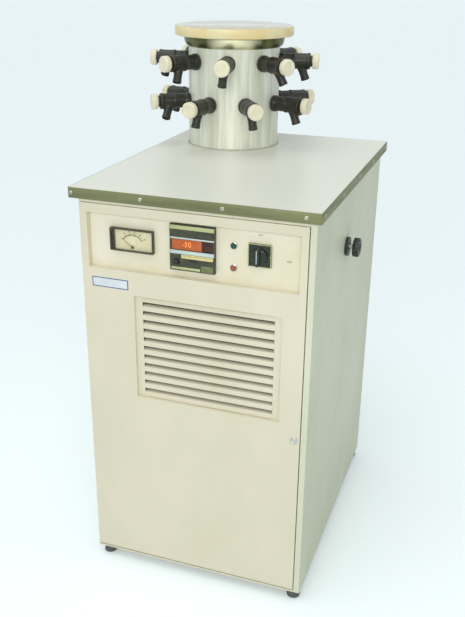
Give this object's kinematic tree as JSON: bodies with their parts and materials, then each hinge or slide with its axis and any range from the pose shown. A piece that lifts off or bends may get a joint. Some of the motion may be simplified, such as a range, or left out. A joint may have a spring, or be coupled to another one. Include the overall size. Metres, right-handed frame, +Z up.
{
  "type": "laboratory manifold freeze dryer",
  "caption": "Floor-standing laboratory freeze dryer: cabinet with a hinged front, control panel and louvres, a worktop, and a steel drum with flask valves under a clear lid.",
  "frame": {"origin": "bottom centre of the whole object's box, on the floor", "axes": "+Z up, -Y towards the front with the control panel, +X to the viewer's right"},
  "size_m": [0.5854, 0.751, 1.196],
  "materials": {
    "front_paint": "semi-gloss cream enamel",
    "side_paint": "semi-gloss grey-green enamel",
    "laminate": "light grey decorative laminate",
    "band_metal": "dark anodised edge band",
    "screw_steel": "machined",
    "foot_rubber": "moulded",
    "zinc_steel": "zinc plated sheet",
    "black_plastic": "fine texture",
    "case_plastic": "fine texture",
    "window": "clear",
    "display_red": "red filter, lit",
    "needle_paint": "matt",
    "lamp_green": "moulded lens",
    "lamp_red": "moulded lens",
    "lock_chrome": "polished",
    "badge_plate": "bare plate",
    "drum_steel": "stainless, polished along the axis",
    "gasket_rubber": "moulded",
    "lid_acrylic": "thick clear acrylic",
    "valve_rubber": "moulded neoprene",
    "knob_cream": "moulded",
    "copper": "drawn copper tube",
    "foam": "rigid foam",
    "shell_paint": "gloss black",
    "fin_metal": "fins"
  },
  "bodies": {
    "cabinet": {"side_panel_left": "side_paint", "side_panel_right": "side_paint", "back_panel": "side_paint", "base_plate": "zinc_steel", "front_rail": "front_paint", "worktop": "laminate", "edge_band": "band_metal", "edge_screws": "screw_steel", "levelling_feet": "foot_rubber", "door_hinge_pins": "screw_steel", "vent_valve_body": "screw_steel", "vent_tube": "copper", "manifold_drum": "drum_steel", "valve_stubs": "drum_steel", "valve_bodies": "valve_rubber", "lid_gasket": "gasket_rubber", "condenser_vessel": "drum_steel", "evaporator_coil": "copper", "vessel_insulation": "foam", "vacuum_pipe": "drum_steel", "compressor": "shell_paint", "air_condenser": "fin_metal", "fan_shroud": "zinc_steel", "fan_motor": "shell_paint", "cord_gland": "black_plastic", "refrigerant_lines": "copper"},
    "door": {"front_door": "front_paint", "louvre_grille": "front_paint", "control_plate": "front_paint", "meter_case": "black_plastic", "meter_window": "window", "indicator_case": "case_plastic", "indicator_display": "display_red", "pilot_lamp_green": "lamp_green", "pilot_lamp_red": "lamp_red", "switch_plate": "black_plastic", "badge_plate": "badge_plate"},
    "needle": {"meter_needle": "needle_paint"},
    "setting_knob": {"indicator_knob": "black_plastic"},
    "cam_switch": {"switch_knob": "black_plastic"},
    "lock": {"door_lock": "lock_chrome"},
    "vent_knob": {"vent_valve_knob": "black_plastic"},
    "lid": {"drum_lid": "lid_acrylic"},
    "fan": {"fan_blade": "fin_metal"},
    "valve_knob_upper_1": {"valve_knob_upper_1": "knob_cream"},
    "valve_knob_upper_2": {"valve_knob_upper_2": "knob_cream"},
    "valve_knob_upper_3": {"valve_knob_upper_3": "knob_cream"},
    "valve_knob_upper_4": {"valve_knob_upper_4": "knob_cream"},
    "valve_knob_upper_5": {"valve_knob_upper_5": "knob_cream"},
    "valve_knob_upper_6": {"valve_knob_upper_6": "knob_cream"},
    "valve_knob_upper_7": {"valve_knob_upper_7": "knob_cream"},
    "valve_knob_upper_8": {"valve_knob_upper_8": "knob_cream"},
    "valve_knob_lower_1": {"valve_knob_lower_1": "knob_cream"},
    "valve_knob_lower_2": {"valve_knob_lower_2": "knob_cream"},
    "valve_knob_lower_3": {"valve_knob_lower_3": "knob_cream"},
    "valve_knob_lower_4": {"valve_knob_lower_4": "knob_cream"},
    "valve_knob_lower_5": {"valve_knob_lower_5": "knob_cream"},
    "valve_knob_lower_6": {"valve_knob_lower_6": "knob_cream"},
    "valve_knob_lower_7": {"valve_knob_lower_7": "knob_cream"},
    "valve_knob_lower_8": {"valve_knob_lower_8": "knob_cream"}
  },
  "joints": [
    {"name": "door_hinge", "type": "hinge", "parent": "cabinet", "child": "door", "pos_m": [-0.22979, -0.34646, 0.4575], "axis": [0, 0, -1], "range_deg": [0, 110]},
    {"name": "needle_turn", "type": "hinge", "parent": "door", "child": "needle", "pos_m": [-0.12479, -0.34046, 0.796], "axis": [0, 1, 0], "range_deg": [0, 110]},
    {"name": "setting_knob_turn", "type": "hinge", "parent": "door", "child": "setting_knob", "pos_m": [-0.02579, -0.34046, 0.78], "axis": [0, 1, 0], "range_deg": [0, 270]},
    {"name": "cam_switch_turn", "type": "hinge", "parent": "door", "child": "cam_switch", "pos_m": [0.14721, -0.34046, 0.8115], "axis": [0, 1, 0], "range_deg": [0, 90]},
    {"name": "lock_turn", "type": "hinge", "parent": "door", "child": "lock", "pos_m": [0.23421, -0.35446, 0.421], "axis": [0, -1, 0], "range_deg": [0, 90]},
    {"name": "vent_knob_turn", "type": "hinge", "parent": "cabinet", "child": "vent_knob", "pos_m": [0.26221, -0.07146, 0.76], "axis": [1, 0, 0], "range_deg": [0, 360]},
    {"name": "lid_lift", "type": "slide", "parent": "cabinet", "child": "lid", "axis": [0, 0, 1], "range_m": [0, 0.3]},
    {"name": "fan_spin", "type": "hinge", "parent": "cabinet", "child": "fan", "pos_m": [0.03971, -0.18246, 0.5765], "axis": [0, 1, 0], "continuous": true},
    {"name": "valve_knob_upper_1_turn", "type": "hinge", "parent": "cabinet", "child": "valve_knob_upper_1", "pos_m": [-0.05283, -0.00922, 1.117], "axis": [0.1951, -0.9808, 0], "range_deg": [0, 180]},
    {"name": "valve_knob_upper_2_turn", "type": "hinge", "parent": "cabinet", "child": "valve_knob_upper_2", "pos_m": [0.06445, 0.06914, 1.117], "axis": [0.8315, -0.5556, 0], "range_deg": [0, 180]},
    {"name": "valve_knob_upper_3_turn", "type": "hinge", "parent": "cabinet", "child": "valve_knob_upper_3", "pos_m": [0.09197, 0.20749, 1.117], "axis": [0.9808, 0.1951, 0], "range_deg": [0, 180]},
    {"name": "valve_knob_upper_4_turn", "type": "hinge", "parent": "cabinet", "child": "valve_knob_upper_4", "pos_m": [0.01361, 0.32478, 1.117], "axis": [0.5556, 0.8315, 0], "range_deg": [0, 180]},
    {"name": "valve_knob_upper_5_turn", "type": "hinge", "parent": "cabinet", "child": "valve_knob_upper_5", "pos_m": [-0.12474, 0.3523, 1.117], "axis": [-0.1951, 0.9808, 0], "range_deg": [0, 180]},
    {"name": "valve_knob_upper_6_turn", "type": "hinge", "parent": "cabinet", "child": "valve_knob_upper_6", "pos_m": [-0.24203, 0.27393, 1.117], "axis": [-0.8315, 0.5556, 0], "range_deg": [0, 180]},
    {"name": "valve_knob_upper_7_turn", "type": "hinge", "parent": "cabinet", "child": "valve_knob_upper_7", "pos_m": [-0.26955, 0.13558, 1.117], "axis": [-0.9808, -0.1951, 0], "range_deg": [0, 180]},
    {"name": "valve_knob_upper_8_turn", "type": "hinge", "parent": "cabinet", "child": "valve_knob_upper_8", "pos_m": [-0.19118, 0.0183, 1.117], "axis": [-0.5556, -0.8315, 0], "range_deg": [0, 180]},
    {"name": "valve_knob_lower_1_turn", "type": "hinge", "parent": "cabinet", "child": "valve_knob_lower_1", "pos_m": [-0.12474, -0.00922, 1.022], "axis": [-0.1951, -0.9808, 0], "range_deg": [0, 180]},
    {"name": "valve_knob_lower_2_turn", "type": "hinge", "parent": "cabinet", "child": "valve_knob_lower_2", "pos_m": [0.01361, 0.0183, 1.022], "axis": [0.5556, -0.8315, 0], "range_deg": [0, 180]},
    {"name": "valve_knob_lower_3_turn", "type": "hinge", "parent": "cabinet", "child": "valve_knob_lower_3", "pos_m": [0.09197, 0.13558, 1.022], "axis": [0.9808, -0.1951, 0], "range_deg": [0, 180]},
    {"name": "valve_knob_lower_4_turn", "type": "hinge", "parent": "cabinet", "child": "valve_knob_lower_4", "pos_m": [0.06445, 0.27393, 1.022], "axis": [0.8315, 0.5556, 0], "range_deg": [0, 180]},
    {"name": "valve_knob_lower_5_turn", "type": "hinge", "parent": "cabinet", "child": "valve_knob_lower_5", "pos_m": [-0.05283, 0.3523, 1.022], "axis": [0.1951, 0.9808, 0], "range_deg": [0, 180]},
    {"name": "valve_knob_lower_6_turn", "type": "hinge", "parent": "cabinet", "child": "valve_knob_lower_6", "pos_m": [-0.19118, 0.32478, 1.022], "axis": [-0.5556, 0.8315, 0], "range_deg": [0, 180]},
    {"name": "valve_knob_lower_7_turn", "type": "hinge", "parent": "cabinet", "child": "valve_knob_lower_7", "pos_m": [-0.26955, 0.20749, 1.022], "axis": [-0.9808, 0.1951, 0], "range_deg": [0, 180]},
    {"name": "valve_knob_lower_8_turn", "type": "hinge", "parent": "cabinet", "child": "valve_knob_lower_8", "pos_m": [-0.24203, 0.06914, 1.022], "axis": [-0.8315, -0.5556, 0], "range_deg": [0, 180]}
  ]
}
